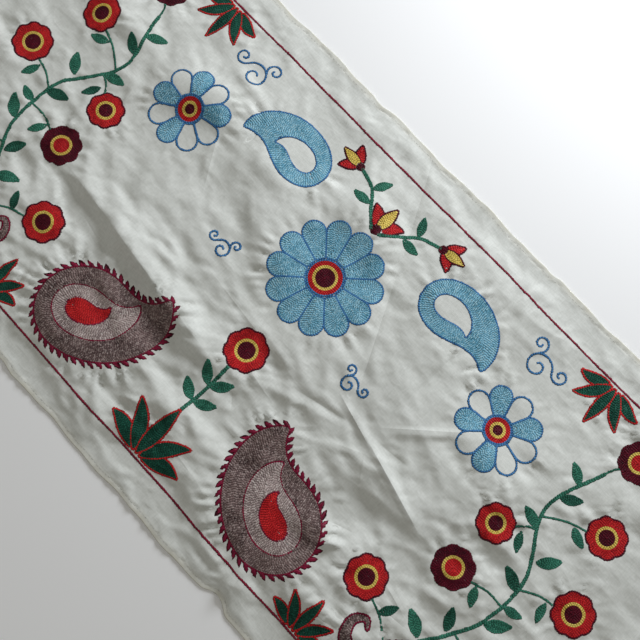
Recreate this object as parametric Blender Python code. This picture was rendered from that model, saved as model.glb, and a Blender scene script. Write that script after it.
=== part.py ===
"""Suzani runner: one cotton panel with a turned hem, lying on a flat surface in its storage folds.

Metres, +Z up. The origin is at the centre of the base, +X runs along the length of the runner and
+Y across it. The underside is exactly flat wherever the cloth touches the surface.
"""
from collections import namedtuple
import math

import bpy
import numpy as np
from mathutils import Vector
from mathutils.geometry import delaunay_2d_cdt

# Driving dimensions
LENGTH = 1.450
WIDTH = 0.480
CLOTH_THICKNESS = 0.0015
HEM_THICKNESS = 0.0023
HEM_WIDTH = 0.008
HEM_SLOPE = 0.0016          # run over which the hem's extra thickness falls to the single cloth

# How far the sewn edge wanders in from the straight cut, and how long its waves are
EDGE_WAVES = ((0.0010, 0.118), (0.0005, 0.047))

# Small recesses where a fold draws the edge in. Side is the cloth's own side, at is the place along it.
Notch = namedtuple("Notch", "side at depth reach")
NOTCHES = (
    Notch("low", 0.160, 0.0070, 0.020),
    Notch("high", 0.158, 0.0022, 0.012),
    Notch("low", -0.160, 0.0025, 0.016),
    Notch("high", -0.098, 0.0015, 0.014),
    Notch("high", -0.463, 0.0025, 0.014),
    Notch("low", 0.466, 0.0030, 0.016),
)

# Folds, one row each. The crest runs from start to end and swings out sideways by bow at its middle.
# Low and high are the distances from the crest to the foot, on the right and on the left of someone
# who walks from start to end. Height is negative for a trough, and crisp goes from 0 for a round
# swell to 1 for a pressed crease. Creases that cross an edge start well outside it.
Fold = namedtuple("Fold", "start end bow low high height crisp")
SWELLS = (
    Fold((-0.640, -0.170), (0.620, -0.166), 0.000, 0.070, 0.080, 0.0046, 0.0),
    Fold((-0.090, 0.230), (0.120, -0.060), 0.000, 0.085, 0.080, 0.0042, 0.0),
    Fold((0.050, 0.250), (0.200, -0.060), 0.000, 0.070, 0.085, 0.0042, 0.0),
    Fold((0.200, 0.090), (0.440, -0.070), 0.000, 0.080, 0.090, 0.0040, 0.0),
    Fold((-0.700, 0.080), (-0.400, -0.030), 0.000, 0.070, 0.085, 0.0038, 0.0),
    Fold((0.480, 0.080), (0.680, -0.060), 0.000, 0.080, 0.080, 0.0038, 0.0),
)
SOFT_FOLDS = (
    Fold((-0.400, -0.036), (0.150, -0.100), -0.002, 0.022, 0.040, 0.0094, 0.3),
    Fold((-0.305, 0.074), (-0.165, 0.120), 0.002, 0.034, 0.050, 0.0078, 0.0),
    Fold((-0.405, 0.080), (-0.295, 0.116), 0.002, 0.030, 0.040, 0.0058, 0.0),
    Fold((-0.165, 0.098), (-0.065, 0.088), 0.002, 0.015, 0.028, 0.0034, 0.2),
    Fold((-0.130, 0.088), (-0.008, 0.026), -0.008, 0.030, 0.044, 0.0052, 0.1),
    Fold((-0.072, 0.142), (0.062, 0.106), 0.004, 0.032, 0.050, 0.0056, 0.0),
    Fold((-0.080, 0.098), (-0.035, 0.080), 0.001, 0.012, 0.020, 0.0020, 0.2),
    Fold((0.096, -0.124), (0.292, -0.104), 0.002, 0.024, 0.032, 0.0070, 0.3),
    Fold((0.170, -0.156), (0.300, -0.164), -0.004, 0.022, 0.026, 0.0034, 0.0),
    Fold((0.195, 0.066), (0.320, 0.022), 0.006, 0.030, 0.044, 0.0048, 0.1),
    Fold((0.240, 0.105), (0.350, 0.082), -0.004, 0.020, 0.030, 0.0030, 0.1),
    Fold((-0.200, -0.094), (-0.050, -0.142), 0.002, 0.016, 0.026, 0.0040, 0.2),
    Fold((-0.060, -0.146), (0.090, -0.152), 0.003, 0.016, 0.024, 0.0034, 0.1),
    Fold((-0.330, -0.124), (-0.170, -0.092), 0.004, 0.028, 0.034, 0.0038, 0.0),
    Fold((-0.700, 0.104), (-0.450, 0.152), 0.006, 0.034, 0.050, 0.0056, 0.0),
    Fold((-0.690, -0.110), (-0.410, -0.076), -0.006, 0.028, 0.052, 0.0066, 0.2),
    Fold((-0.500, -0.128), (-0.320, -0.150), 0.004, 0.020, 0.026, 0.0038, 0.1),
    Fold((0.310, 0.124), (0.550, 0.156), -0.005, 0.030, 0.048, 0.0056, 0.0),
    Fold((0.360, -0.134), (0.640, -0.086), 0.006, 0.028, 0.050, 0.0064, 0.2),
    Fold((0.480, 0.080), (0.690, 0.032), 0.005, 0.028, 0.040, 0.0050, 0.1),
)
CREASES = (
    Fold((0.048, -0.046), (0.140, -0.018), 0.001, 0.006, 0.008, -0.0022, 0.4),
    Fold((0.092, -0.004), (0.262, -0.052), 0.001, 0.042, 0.012, 0.0072, 0.5),
    Fold((0.142, -0.015), (0.242, 0.078), 0.000, 0.007, 0.009, 0.0022, 0.5),
    Fold((-0.075, 0.360), (0.133, -0.040), 0.000, 0.016, 0.044, -0.0042, 0.5),
    Fold((-0.200, 0.100), (-0.152, 0.024), -0.004, 0.006, 0.008, 0.0018, 0.6),
    Fold((-0.155, 0.272), (-0.075, 0.190), 0.000, 0.016, 0.010, 0.0022, 0.4),
    Fold((0.149, -0.160), (0.172, -0.310), 0.000, 0.010, 0.018, 0.0050, 0.4),
    Fold((0.162, 0.300), (0.154, 0.160), 0.000, 0.008, 0.012, 0.0026, 0.5),
)
STORAGE_CREASES = (
    Fold((-0.160, -0.360), (-0.160, 0.360), 0.002, 0.008, 0.010, -0.0014, 0.7),
    Fold((0.151, -0.030), (0.151, 0.360), 0.000, 0.010, 0.008, -0.0022, 0.6),
    Fold((-0.463, -0.360), (-0.465, 0.360), 0.002, 0.012, 0.009, 0.0022, 0.6),
    Fold((0.466, -0.360), (0.464, 0.360), -0.002, 0.009, 0.012, 0.0022, 0.6),
    Fold((0.215, -0.038), (0.860, -0.002), -0.004, 0.020, 0.011, 0.0034, 0.5),
    Fold((-0.860, 0.008), (-0.340, -0.022), 0.003, 0.024, 0.014, 0.0034, 0.4),
)
FOLDS = SWELLS + SOFT_FOLDS + CREASES + STORAGE_CREASES

# The cloth's own slow unevenness: straight waves, each with its length, heading in degrees, phase
# and height
Wave = namedtuple("Wave", "length heading phase height")
WAVES = (
    Wave(0.236, 76.0, 0.4, 0.0010),
    Wave(0.171, 104.0, 2.3, 0.0009),
    Wave(0.310, 12.0, 4.1, 0.0011),
    Wave(0.124, 58.0, 1.2, 0.0006),
    Wave(0.093, 121.0, 5.0, 0.0004),
)

FIELD_LIFT = 0.0026         # mean height of the field between the folds
EDGE_FLAT = 0.062           # width of the edge strip that the cloth's own weight flattens
SETTLE = 0.0012             # the cloth's weight presses every fold down by this much
SOFT_LANDING = 0.0020       # height over which a fold eases into the flat
FADE = 0.40                 # share of a fold's length over which each of its ends dies out

# Spacing of the sheet's points: along the edges, along the fold crests and over the plain field
EDGE_STEP = 0.018
FOLD_STEP = 0.018
FIELD_STEP = 0.027
CLEAR_OF_HEM = 0.007
CLOSEST = 0.0086
FLANK_SHARE = 0.55          # where a flank's points lie, as a share of the way to the foot
SAME_POINT = 1e-7
KEEP_INSIDE = 1             # the triangulation's code for leaving out what lies outside the outline

COTTON = (0.63, 0.63, 0.60)
COTTON_ROUGHNESS = 0.9
SHARP_EDGE = math.radians(50.0)


def clear_scene():
    for item in list(bpy.data.objects):
        bpy.data.objects.remove(item, do_unlink=True)


def edge_wander(side, along):
    """How far the edge lies in from the straight cut at a place along its side."""
    phase = {"low": 0.0, "high": 1.7, "left": 3.1, "right": 4.6}[side]
    inset = sum(size * (1.0 + math.sin(2.0 * math.pi * along / wave + phase)) for size, wave in EDGE_WAVES)
    for notch in NOTCHES:
        nearness = abs(along - notch.at) / notch.reach
        if notch.side == side and nearness < 1.0:
            inset += notch.depth * (1.0 - nearness ** 2) ** 2
    return inset


def ring(inset):
    """Points around the cloth, counter-clockwise, at a distance in from its edge."""
    half_x = LENGTH / 2 - inset
    half_y = WIDTH / 2 - inset
    columns = round(LENGTH / EDGE_STEP)
    rows = round(WIDTH / EDGE_STEP)
    points = []
    for i in range(columns):
        x = half_x * (2.0 * i / columns - 1.0)
        points.append((x, -half_y + edge_wander("low", x)))
    for i in range(rows):
        y = half_y * (2.0 * i / rows - 1.0)
        points.append((half_x - edge_wander("right", y), y))
    for i in range(columns):
        x = half_x * (1.0 - 2.0 * i / columns)
        points.append((x, half_y - edge_wander("high", x)))
    for i in range(rows):
        y = half_y * (1.0 - 2.0 * i / rows)
        points.append((-half_x + edge_wander("left", y), y))
    return points


def ease(share):
    """A smooth step from 0 to 1."""
    share = np.clip(share, 0.0, 1.0)
    return share * share * (3.0 - 2.0 * share)


def heading_of(fold):
    """Length of a fold, and the unit vectors along it and to its left."""
    run = np.array(fold.end) - np.array(fold.start)
    length = np.hypot(*run)
    along = run / length
    return length, along, np.array((-along[1], along[0]))


def bowed(fold, place):
    """How far the crest lies to the left of the straight run, at a place from 0 to 1 along it."""
    return fold.bow * 4.0 * place * (1.0 - place)


def fold_height(fold, points):
    """Height that one fold adds at each point."""
    length, along, left = heading_of(fold)
    place = np.clip((points - fold.start) @ along / length, 0.0, 1.0)
    offset = (points - fold.start) @ left - bowed(fold, place)
    away = np.clip(np.abs(offset) / np.where(offset > 0.0, fold.high, fold.low), 0.0, 1.0)
    profile = (1.0 - fold.crisp) * (1.0 - away ** 2) ** 2 + fold.crisp * (1.0 - away) ** 2
    return fold.height * profile * ease(np.minimum(place, 1.0 - place) / FADE)


def unevenness(points):
    """The slow waves of the field, flattened towards the edges."""
    height = np.full(len(points), FIELD_LIFT)
    for wave in WAVES:
        heading = math.radians(wave.heading)
        along = points @ np.array((math.cos(heading), math.sin(heading)))
        height += wave.height * np.sin(2.0 * math.pi * along / wave.length + wave.phase)
    inset = np.min(np.array((LENGTH, WIDTH)) / 2 - np.abs(points), axis=1)
    return height * ease(inset / EDGE_FLAT)


def resting_height(points):
    """Height of the underside: the sum of the folds, settled on the surface and never under it."""
    height = unevenness(points) + sum(fold_height(fold, points) for fold in FOLDS) - SETTLE
    eased = height ** 2 / (2.0 * SOFT_LANDING)
    return np.where(height <= 0.0, 0.0, np.where(height < SOFT_LANDING, eased, height - SOFT_LANDING / 2.0))


def beside(fold, offset):
    """Points along a line that follows a fold's crest at an offset to its left."""
    length, _, left = heading_of(fold)
    place = np.linspace(0.0, 1.0, max(2, round(length / FOLD_STEP)) + 1)[:, None]
    run = np.array(fold.end) - np.array(fold.start)
    return fold.start + run * place + left * (offset + bowed(fold, place))


def fold_points():
    """Points on the crests, then on the flanks and feet, of every fold but the broad swells."""
    folds = CREASES + STORAGE_CREASES + SOFT_FOLDS
    lines = [beside(fold, 0.0) for fold in folds]
    for share in (FLANK_SHARE, 1.0):
        lines += [beside(fold, share * fold.high) for fold in folds]
        lines += [beside(fold, -share * fold.low) for fold in folds]
    return np.concatenate(lines)


def field_points():
    """A plain staggered grid of points over the whole cloth."""
    points = []
    rows = round(WIDTH / FIELD_STEP)
    columns = round(LENGTH / FIELD_STEP)
    for j in range(rows + 1):
        for i in range(columns + 1):
            x = LENGTH * ((i + 0.5 * (j % 2)) / columns - 0.5)
            points.append((x, WIDTH * (j / rows - 0.5)))
    return np.array(points)


def spaced(candidates, kept):
    """Adds each candidate that lies inside the hem and clear of all the points kept before it."""
    half = np.array((LENGTH, WIDTH)) / 2 - HEM_WIDTH - HEM_SLOPE - CLEAR_OF_HEM
    store = np.empty((len(kept) + len(candidates), 2))
    store[:len(kept)] = kept
    count = len(kept)
    for point in candidates:
        inside = np.all(np.abs(point) < half)
        if inside and np.min(np.hypot(*(store[:count] - point).T)) > CLOSEST:
            store[count] = point
            count += 1
    return store[:count]


def loop_edges(first, count):
    return [(first + i, first + (i + 1) % count) for i in range(count)]


def closed_sheet():
    """Vertices and triangles of the cloth: a top and an underside, joined around the edge."""
    rings = [ring(inset) for inset in (0.0, HEM_WIDTH, HEM_WIDTH + HEM_SLOPE)]
    around = len(rings[0])
    flat = np.array(sum(rings, []))
    flat = spaced(fold_points(), flat)
    flat = spaced(field_points(), flat)
    edges = sum((loop_edges(i * around, around) for i in range(len(rings))), [])
    cut = delaunay_2d_cdt([Vector(point) for point in flat], edges, [], KEEP_INSIDE, SAME_POINT)
    flat = np.array([tuple(point) for point in cut[0]])
    triangles = [tuple(face) for face in cut[2]]
    thickness = np.full(len(flat), CLOTH_THICKNESS)
    thickness[:2 * around] = HEM_THICKNESS

    low = resting_height(flat)
    flat -= (flat.min(axis=0) + flat.max(axis=0)) / 2
    count = len(flat)
    underside = np.column_stack((flat, low))
    top = np.column_stack((flat, low + thickness))
    faces = [tuple(i + count for i in face) for face in triangles]
    faces += [tuple(reversed(face)) for face in triangles]
    for a, b in loop_edges(0, around):
        faces += [(a, b, b + count), (a, b + count, a + count)]
    return np.concatenate((underside, top)).tolist(), faces


def cotton_material():
    material = bpy.data.materials.new("cotton")
    material.use_nodes = True
    shader = material.node_tree.nodes["Principled BSDF"]
    shader.inputs["Base Color"].default_value = (*COTTON, 1.0)
    shader.inputs["Roughness"].default_value = COTTON_ROUGHNESS
    shader.inputs["Metallic"].default_value = 0.0
    return material


def make_cloth():
    vertices, faces = closed_sheet()
    mesh = bpy.data.meshes.new("cloth")
    mesh.from_pydata(vertices, [], faces)
    mesh.materials.append(cotton_material())
    mesh.shade_smooth()
    mesh.set_sharp_from_angle(angle=SHARP_EDGE)
    cloth = bpy.data.objects.new("cloth", mesh)
    bpy.context.scene.collection.objects.link(cloth)
    return cloth


clear_scene()
make_cloth()
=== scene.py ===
"""Looks of the suzani runner: off-white cotton in its folds, worked in rows of chain stitch.

Metres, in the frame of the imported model: +X along the runner, +Y across it, +Z up.
"""
from collections import namedtuple
import math

import bpy
import numpy as np
from mathutils import Euler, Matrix, Vector, kdtree, noise


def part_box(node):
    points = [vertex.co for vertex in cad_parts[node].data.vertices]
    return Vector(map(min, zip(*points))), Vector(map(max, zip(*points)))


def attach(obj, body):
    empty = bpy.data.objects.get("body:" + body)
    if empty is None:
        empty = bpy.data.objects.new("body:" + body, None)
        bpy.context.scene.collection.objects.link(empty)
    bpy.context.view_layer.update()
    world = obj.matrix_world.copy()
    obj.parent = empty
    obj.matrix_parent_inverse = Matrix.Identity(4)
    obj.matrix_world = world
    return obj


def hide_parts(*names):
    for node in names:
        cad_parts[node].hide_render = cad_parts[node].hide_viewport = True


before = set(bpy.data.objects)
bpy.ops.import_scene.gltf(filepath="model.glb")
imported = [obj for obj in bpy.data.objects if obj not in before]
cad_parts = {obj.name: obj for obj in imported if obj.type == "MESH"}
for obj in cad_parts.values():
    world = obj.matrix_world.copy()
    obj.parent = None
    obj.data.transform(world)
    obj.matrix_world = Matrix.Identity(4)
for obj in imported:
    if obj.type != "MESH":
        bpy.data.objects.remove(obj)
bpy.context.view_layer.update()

# Driving dimensions. The cloth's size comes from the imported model.
CLOTH_LOW, CLOTH_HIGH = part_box("cloth")
LENGTH = CLOTH_HIGH.x - CLOTH_LOW.x
WIDTH = CLOTH_HIGH.y - CLOTH_LOW.y
HALF = np.array((LENGTH, WIDTH)) / 2
CLOTH_THICKNESS = 0.0010
HEM_THICKNESS = 0.0012
HEM_WIDTH = 0.0066
HEM_ROLL = 0.0006           # how far in from the edge the hem's fold is rounded
HEM_BLEND = 0.0022          # how far past the hem its thickness reaches that of the single cloth
HEM_STITCH_INSET = 0.0052   # the hem's line of stitches, from the edge
HEM_DIP = 0.0003            # depth and half width of the dimples along that line, and their pitches
HEM_DIP_WIDTH = 0.0014
HEM_DIP_PITCHES = (0.0019, 0.0051, 0.0173)
HEM_STITCH_PITCH = 0.0042
HEM_STITCH_WIDTH = 0.0007
HEM_STITCH_SHARE = 0.62     # share of the pitch that a hem stitch covers
HEM_THREAD_SHARE = 0.35     # height of the hem's thread as a share of the embroidery's
STAIN_WIDTH = 0.0090        # the edge's yellowing, from the edge
BORDER_INSET = 0.0377       # the embroidered border line, from the edge
BORDER_STEP = 0.0040
BORDER_LINK = 0.0030
BORDER_WAVES = ((0.0007, 0.041, 0.0), (0.0004, 0.0137, 1.0))    # size, length over a turn, phase
GRID_STEP = 0.00314         # spacing of the cloth's grid over the field
# Places of the grid lines over a hem, from the edge
HEM_LINES = (0.0, 0.0004, 0.0010, 0.0020, 0.0032, 0.0044, 0.0052, 0.0060, 0.0068, 0.0082)

# Chain stitch: rows of a fill lie a gap apart, and each link of a row is one loop of thread
FILL_GAP = 0.00155
FILL_LINK = 0.0024
FILL_WIDTH = 0.0024
LINE_LINK = 0.0026
LINE_WIDTH = 0.0027
LINE_GAP = 0.0017
UNDER_EDGE = 0.0014         # from an outline's row to the first row of the fill in it
THREAD_HEIGHT = 0.00065
THREAD_SINK = 0.00012       # how far the foot of a loop lies in the cloth
OUTLINE_STEP = 0.0010       # spacing of the points that rows of a fill are offset from
TOOTH_STEP = 0.0086         # spacing and height of the points on a saw-toothed edge
TOOTH_HEIGHT = 0.0058
TOOTH_LOOPS = ((0.55, 1.0, 0.52), (0.25, 0.66, 0.60), (-0.10, 0.36, 0.60))    # lean, reach, width
ROW_SLACK = 0.00012         # how much nearer to the outline than its depth a row may come
BARE_SPOT = 0.55            # shares of the gap: from a bare spot to the links beside it,
BARE_SPACING = 0.62         # from one bare spot that gets a link to the next,
BARE_MARGIN = 0.7           # and, as a share of the first row's depth, from the outline
SCROLL_STEP = 0.0022
SCROLL_TIP = 0.0012         # half width of a scroll's thin end
SEED = 11

# How far the sewn edge wanders in from the straight cut, and how long its waves are
EDGE_WAVES = ((0.0010, 0.118), (0.0005, 0.047))
EDGE_BLEND = 0.030          # width over which the edge's wandering dies out
Notch = namedtuple("Notch", "side at depth reach")
NOTCHES = (
    Notch("low", 0.160, 0.0070, 0.020),
    Notch("high", 0.158, 0.0022, 0.012),
    Notch("low", -0.160, 0.0025, 0.016),
    Notch("high", -0.098, 0.0015, 0.014),
    Notch("high", -0.463, 0.0025, 0.014),
    Notch("low", 0.466, 0.0030, 0.016),
)

# Folds of the solid, one row each. The crest runs from start to end and swings out sideways by bow
# at its middle. Low and high are the distances from the crest to the foot, on the right and on the
# left of someone who walks from start to end. Height is negative for a trough, and crisp goes from
# 0 for a round swell to 1 for a pressed crease.
Fold = namedtuple("Fold", "start end bow low high height crisp")
SWELLS = (
    Fold((-0.640, -0.170), (0.620, -0.166), 0.000, 0.070, 0.080, 0.0046, 0.0),
    Fold((-0.090, 0.230), (0.120, -0.060), 0.000, 0.085, 0.080, 0.0042, 0.0),
    Fold((0.050, 0.250), (0.200, -0.060), 0.000, 0.070, 0.085, 0.0042, 0.0),
    Fold((0.200, 0.090), (0.440, -0.070), 0.000, 0.080, 0.090, 0.0040, 0.0),
    Fold((-0.700, 0.080), (-0.400, -0.030), 0.000, 0.070, 0.085, 0.0038, 0.0),
    Fold((0.480, 0.080), (0.680, -0.060), 0.000, 0.080, 0.080, 0.0038, 0.0),
)
SOFT_FOLDS = (
    Fold((-0.400, -0.036), (0.150, -0.100), -0.002, 0.022, 0.040, 0.0094, 0.3),
    Fold((-0.305, 0.074), (-0.165, 0.120), 0.002, 0.034, 0.050, 0.0078, 0.0),
    Fold((-0.405, 0.080), (-0.295, 0.116), 0.002, 0.030, 0.040, 0.0058, 0.0),
    Fold((-0.165, 0.098), (-0.065, 0.088), 0.002, 0.015, 0.028, 0.0034, 0.2),
    Fold((-0.130, 0.088), (-0.008, 0.026), -0.008, 0.030, 0.044, 0.0052, 0.1),
    Fold((-0.072, 0.142), (0.062, 0.106), 0.004, 0.032, 0.050, 0.0056, 0.0),
    Fold((-0.080, 0.098), (-0.035, 0.080), 0.001, 0.012, 0.020, 0.0020, 0.2),
    Fold((0.096, -0.124), (0.292, -0.104), 0.002, 0.024, 0.032, 0.0070, 0.3),
    Fold((0.170, -0.156), (0.300, -0.164), -0.004, 0.022, 0.026, 0.0034, 0.0),
    Fold((0.195, 0.066), (0.320, 0.022), 0.006, 0.030, 0.044, 0.0048, 0.1),
    Fold((0.240, 0.105), (0.350, 0.082), -0.004, 0.020, 0.030, 0.0030, 0.1),
    Fold((-0.200, -0.094), (-0.050, -0.142), 0.002, 0.016, 0.026, 0.0040, 0.2),
    Fold((-0.060, -0.146), (0.090, -0.152), 0.003, 0.016, 0.024, 0.0034, 0.1),
    Fold((-0.330, -0.124), (-0.170, -0.092), 0.004, 0.028, 0.034, 0.0038, 0.0),
    Fold((-0.700, 0.104), (-0.450, 0.152), 0.006, 0.034, 0.050, 0.0056, 0.0),
    Fold((-0.690, -0.110), (-0.410, -0.076), -0.006, 0.028, 0.052, 0.0066, 0.2),
    Fold((-0.500, -0.128), (-0.320, -0.150), 0.004, 0.020, 0.026, 0.0038, 0.1),
    Fold((0.310, 0.124), (0.550, 0.156), -0.005, 0.030, 0.048, 0.0056, 0.0),
    Fold((0.360, -0.134), (0.640, -0.086), 0.006, 0.028, 0.050, 0.0064, 0.2),
    Fold((0.480, 0.080), (0.690, 0.032), 0.005, 0.028, 0.040, 0.0050, 0.1),
)
CREASES = (
    Fold((0.048, -0.046), (0.140, -0.018), 0.001, 0.006, 0.008, -0.0022, 0.4),
    Fold((0.092, -0.004), (0.262, -0.052), 0.001, 0.042, 0.012, 0.0072, 0.5),
    Fold((0.142, -0.015), (0.242, 0.078), 0.000, 0.007, 0.009, 0.0022, 0.5),
    Fold((-0.075, 0.360), (0.133, -0.040), 0.000, 0.016, 0.044, -0.0042, 0.5),
    Fold((-0.200, 0.100), (-0.152, 0.024), -0.004, 0.006, 0.008, 0.0018, 0.6),
    Fold((-0.155, 0.272), (-0.075, 0.190), 0.000, 0.016, 0.010, 0.0022, 0.4),
    Fold((0.149, -0.160), (0.172, -0.310), 0.000, 0.010, 0.018, 0.0050, 0.4),
    Fold((0.162, 0.300), (0.154, 0.160), 0.000, 0.008, 0.012, 0.0026, 0.5),
)
STORAGE_CREASES = (
    Fold((-0.160, -0.360), (-0.160, 0.360), 0.002, 0.008, 0.010, -0.0014, 0.7),
    Fold((0.151, -0.030), (0.151, 0.360), 0.000, 0.010, 0.008, -0.0022, 0.6),
    Fold((-0.463, -0.360), (-0.465, 0.360), 0.002, 0.012, 0.009, 0.0022, 0.6),
    Fold((0.466, -0.360), (0.464, 0.360), -0.002, 0.009, 0.012, 0.0022, 0.6),
    Fold((0.215, -0.038), (0.860, -0.002), -0.004, 0.020, 0.011, 0.0034, 0.5),
    Fold((-0.860, 0.008), (-0.340, -0.022), 0.003, 0.024, 0.014, 0.0034, 0.4),
)
# Finer creases than the solid holds
FINE_FOLDS = (
    Fold((-0.340, -0.038), (0.130, -0.093), -0.002, 0.013, 0.013, 0.0020, 0.2),
    Fold((-0.260, -0.002), (-0.160, -0.022), 0.002, 0.007, 0.010, 0.0016, 0.2),
    Fold((-0.290, -0.030), (-0.170, -0.046), 0.002, 0.006, 0.009, 0.0012, 0.3),
    Fold((-0.150, -0.012), (-0.050, -0.030), 0.002, 0.009, 0.012, 0.0015, 0.2),
    Fold((-0.040, -0.022), (0.060, -0.030), 0.002, 0.006, 0.008, 0.0012, 0.4),
    Fold((0.000, -0.044), (0.080, -0.062), 0.002, 0.006, 0.009, 0.0014, 0.3),
    Fold((0.158, -0.024), (0.204, -0.008), 0.002, 0.004, 0.006, -0.0010, 0.5),
    Fold((0.150, -0.118), (0.214, -0.092), 0.000, 0.004, 0.005, -0.0014, 0.5),
    Fold((0.112, 0.052), (0.118, 0.030), 0.002, 0.004, 0.004, -0.0010, 0.4),
    Fold((-0.170, 0.060), (-0.120, -0.010), 0.004, 0.005, 0.007, 0.0008, 0.5),
    Fold((-0.070, 0.190), (-0.010, 0.150), -0.002, 0.006, 0.010, 0.0014, 0.3),
    Fold((-0.020, 0.176), (0.040, 0.146), -0.002, 0.006, 0.009, 0.0010, 0.3),
    Fold((0.060, 0.140), (0.110, 0.118), 0.002, 0.006, 0.009, 0.0012, 0.3),
    Fold((0.110, 0.100), (0.170, 0.078), 0.002, 0.007, 0.010, 0.0012, 0.2),
    Fold((-0.240, 0.150), (-0.180, 0.140), 0.001, 0.008, 0.012, 0.0016, 0.1),
    Fold((-0.120, 0.070), (-0.080, 0.040), -0.003, 0.007, 0.010, 0.0014, 0.3),
    Fold((-0.035, 0.080), (0.020, 0.066), 0.002, 0.006, 0.010, 0.0013, 0.2),
    Fold((0.170, 0.150), (0.200, 0.115), 0.002, 0.006, 0.008, 0.0010, 0.3),
    Fold((0.246, 0.020), (0.330, 0.038), -0.002, 0.006, 0.008, 0.0016, 0.3),
    Fold((0.256, -0.006), (0.350, 0.008), 0.002, 0.006, 0.009, 0.0016, 0.3),
    Fold((0.262, -0.062), (0.350, -0.036), 0.002, 0.007, 0.010, 0.0018, 0.3),
    Fold((0.256, -0.088), (0.336, -0.066), -0.002, 0.006, 0.009, 0.0015, 0.3),
    Fold((0.290, 0.058), (0.360, 0.080), 0.002, 0.006, 0.009, 0.0016, 0.3),
    Fold((0.196, -0.140), (0.280, -0.134), 0.002, 0.006, 0.009, 0.0013, 0.3),
    Fold((-0.072, -0.166), (0.002, -0.170), 0.001, 0.005, 0.007, 0.0012, 0.3),
    Fold((-0.050, -0.182), (0.030, -0.186), -0.001, 0.005, 0.006, 0.0010, 0.3),
    Fold((0.050, -0.168), (0.140, -0.162), 0.001, 0.005, 0.007, 0.0013, 0.3),
    Fold((0.060, -0.186), (0.150, -0.182), 0.001, 0.005, 0.006, 0.0010, 0.3),
    Fold((0.080, -0.218), (0.118, -0.232), 0.001, 0.006, 0.009, 0.0010, 0.3),
    Fold((-0.060, -0.205), (-0.020, -0.236), 0.001, 0.006, 0.009, 0.0012, 0.3),
    Fold((0.014, 0.222), (0.040, 0.200), 0.001, 0.006, 0.008, 0.0010, 0.3),
)
FOLDS = SWELLS + SOFT_FOLDS + CREASES + STORAGE_CREASES + FINE_FOLDS

# Crisp creases, finer than the cloth's grid, which the cotton's bump holds. Reach is the distance from
# the crest to each foot, and height is negative for a trough.
Crease = namedtuple("Crease", "start end reach height")
CRISP_CREASES = (
    Crease((0.096, -0.008), (0.158, -0.024), 0.0070, 0.00160),
    Crease((0.140, -0.018), (0.252, -0.047), 0.0065, 0.00150),
    Crease((0.146, -0.006), (0.226, 0.070), 0.0040, 0.00050),
    Crease((0.060, -0.039), (0.124, -0.022), 0.0040, -0.00050),
    Crease((0.154, -0.015), (0.200, -0.009), 0.0035, -0.00030),
    Crease((0.152, -0.114), (0.210, -0.091), 0.0030, -0.00040),
    Crease((0.126, -0.048), (0.160, -0.031), 0.0030, 0.00022),
    Crease((0.156, -0.030), (0.178, -0.060), 0.0025, 0.00018),
    Crease((0.040, 0.134), (0.116, -0.008), 0.0045, -0.00055),
    Crease((-0.030, 0.260), (0.046, 0.124), 0.0040, -0.00030),
    Crease((0.148, 0.000), (0.150, 0.260), 0.0045, -0.00034),
    Crease((-0.158, -0.260), (-0.158, 0.260), 0.0045, -0.00030),
    Crease((-0.464, -0.260), (-0.464, 0.260), 0.0050, 0.00040),
    Crease((0.465, -0.260), (0.465, 0.260), 0.0050, 0.00040),
    Crease((-0.300, -0.050), (0.010, -0.083), 0.0060, 0.00050),
    Crease((-0.200, 0.100), (-0.150, 0.022), 0.0035, 0.00030),
    Crease((-0.100, -0.018), (0.070, -0.034), 0.0040, 0.00030),
    Crease((0.126, -0.118), (0.152, -0.152), 0.0060, -0.00060),
    Crease((0.202, -0.180), (0.264, -0.166), 0.0060, -0.00070),
    Crease((0.240, -0.098), (0.300, -0.112), 0.0045, 0.00055),
    Crease((0.252, -0.124), (0.306, -0.118), 0.0040, -0.00050),
    Crease((-0.236, -0.060), (-0.120, -0.074), 0.0040, 0.00040),
    Crease((-0.225, -0.076), (-0.170, -0.088), 0.0030, -0.00030),
    Crease((-0.135, -0.098), (-0.085, -0.112), 0.0035, 0.00035),
    Crease((-0.150, -0.118), (-0.095, -0.132), 0.0050, -0.00050),
    Crease((0.020, -0.086), (0.034, -0.100), 0.0060, -0.00060),
    Crease((0.004, -0.166), (0.062, -0.172), 0.0040, 0.00045),
    Crease((0.000, -0.056), (0.062, -0.066), 0.0050, 0.00035),
)
CREASE_FADE = 0.30          # share of a crisp crease over which each of its ends dies out

# The cloth's own slow unevenness: straight waves
Wave = namedtuple("Wave", "length heading phase height")
WAVES = (
    Wave(0.236, 76.0, 0.4, 0.0010),
    Wave(0.171, 104.0, 2.3, 0.0009),
    Wave(0.310, 12.0, 4.1, 0.0011),
    Wave(0.124, 58.0, 1.2, 0.0006),
    Wave(0.093, 121.0, 5.0, 0.0004),
)
FIELD_LIFT = 0.0026         # mean height of the waves
EDGE_FLAT = 0.062           # width at the edge over which the waves die out
SETTLE = 0.0012             # taken off all heights, which lays the low parts on the floor
SOFT_LANDING = 0.0020       # height over which a fold's rise from the floor is rounded
FADE = 0.40                 # share of a fold over which each of its ends dies out

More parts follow.
